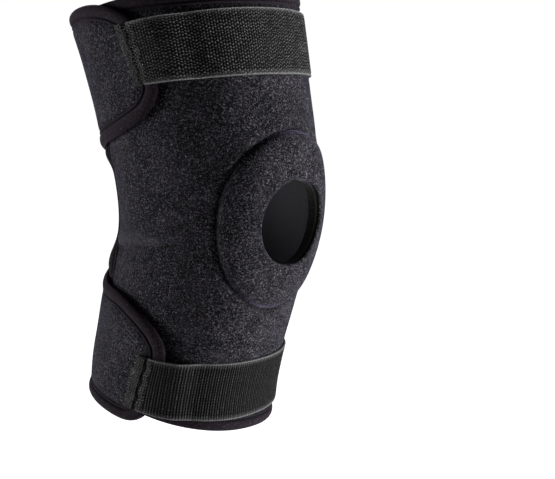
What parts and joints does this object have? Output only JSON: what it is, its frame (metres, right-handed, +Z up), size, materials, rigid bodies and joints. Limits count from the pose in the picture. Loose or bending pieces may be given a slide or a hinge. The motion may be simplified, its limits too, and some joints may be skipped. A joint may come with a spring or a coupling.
{
  "type": "wrap-around open-patella knee sleeve",
  "caption": "Wrap-around knee support of cloth-covered neoprene with an open kneecap, a padded ring round it, overlapping side flaps, bound edges and two elastic straps, closed as worn.",
  "frame": {"origin": "middle of the leg's hollow, level with the kneecap opening, where the knee sits", "axes": "+Z up along the leg, -Y towards the kneecap, -X towards the outer side of a right leg"},
  "size_m": [0.1532, 0.1756, 0.2996],
  "materials": {
    "loop_cloth": "charcoal brushed loop cloth over neoprene",
    "pad_lining": "black jersey over foam",
    "binding": "smooth folded stretch tape",
    "elastic": "ribbed woven elastic with pale edges",
    "hook": "matte hook tape"
  },
  "bodies": {
    "root": {"neoprene_wrap": "loop_cloth", "kneecap_pad": "pad_lining", "edge_binding": "binding", "upper_strap": "elastic", "lower_strap": "elastic", "upper_hook_patch": "hook", "lower_hook_patch": "hook"}
  },
  "joints": []
}
